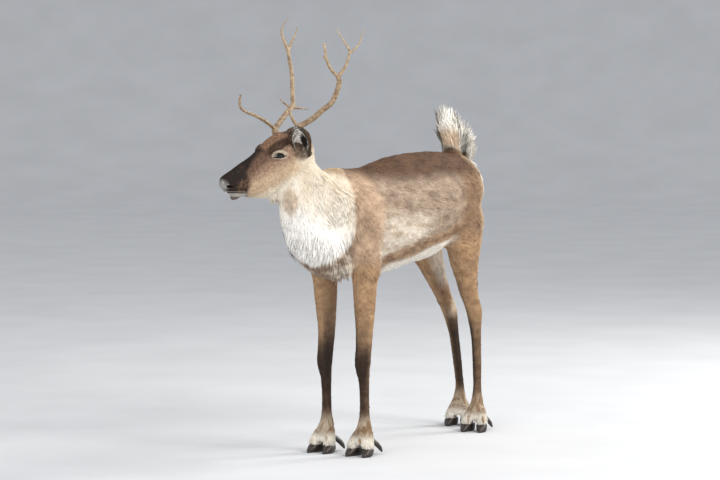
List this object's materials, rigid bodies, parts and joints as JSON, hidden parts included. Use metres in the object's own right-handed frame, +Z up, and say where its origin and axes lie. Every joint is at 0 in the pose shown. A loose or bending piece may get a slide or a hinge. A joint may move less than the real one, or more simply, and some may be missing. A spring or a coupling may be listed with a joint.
{
  "type": "reindeer, standing, still life-size model",
  "caption": "Standing life-size reindeer in winter coat, antlered, head turned to its right and tail raised; still, rests on its hooves.",
  "frame": {"origin": "on the floor under the middle of the animal's box", "axes": "+X the way the body faces, +Y its left side, +Z up"},
  "size_m": [1.3122, 0.3478, 1.4123],
  "materials": {
    "coat_back": "short matt grey-brown winter hair",
    "coat_ruff": "long matt cream-white hair",
    "coat_face": "very short matt brown hair",
    "coat_leg": "short flat brown hair with a slight sheen",
    "coat_foot": "short coarse cream-white hair",
    "tail_hair": "long matt white hair, tan at the root",
    "antler": "polished tan antler bone, paler at the tips",
    "horn": "dark worn horn",
    "eye": "wet gloss, almost black"
  },
  "bodies": {
    "root": {"torso": "coat_back", "neck": "coat_ruff", "head": "coat_face", "tail": "tail_hair", "ear_left": "coat_face", "eye_left": "eye", "ear_right": "coat_face", "eye_right": "eye", "antler_left_beam": "antler", "antler_left_brow": "antler", "antler_left_front": "antler", "antler_left_crown": "antler", "antler_right_beam": "antler", "antler_right_brow": "antler", "antler_right_front": "antler", "antler_right_back": "antler", "antler_right_spur": "antler", "fore_left_forearm": "coat_leg", "fore_left_cannon": "coat_leg", "fore_left_foot": "coat_foot", "fore_left_hoof_outer": "horn", "fore_left_dewclaw_outer": "horn", "fore_left_hoof_inner": "horn", "fore_left_dewclaw_inner": "horn", "fore_right_forearm": "coat_leg", "fore_right_cannon": "coat_leg", "fore_right_foot": "coat_foot", "fore_right_hoof_outer": "horn", "fore_right_dewclaw_outer": "horn", "fore_right_hoof_inner": "horn", "fore_right_dewclaw_inner": "horn", "hind_left_shank": "coat_leg", "hind_left_cannon": "coat_leg", "hind_left_foot": "coat_foot", "hind_left_hoof_outer": "horn", "hind_left_dewclaw_outer": "horn", "hind_left_hoof_inner": "horn", "hind_left_dewclaw_inner": "horn", "hind_right_shank": "coat_leg", "hind_right_cannon": "coat_leg", "hind_right_foot": "coat_foot", "hind_right_hoof_outer": "horn", "hind_right_dewclaw_outer": "horn", "hind_right_hoof_inner": "horn", "hind_right_dewclaw_inner": "horn"}
  },
  "joints": []
}
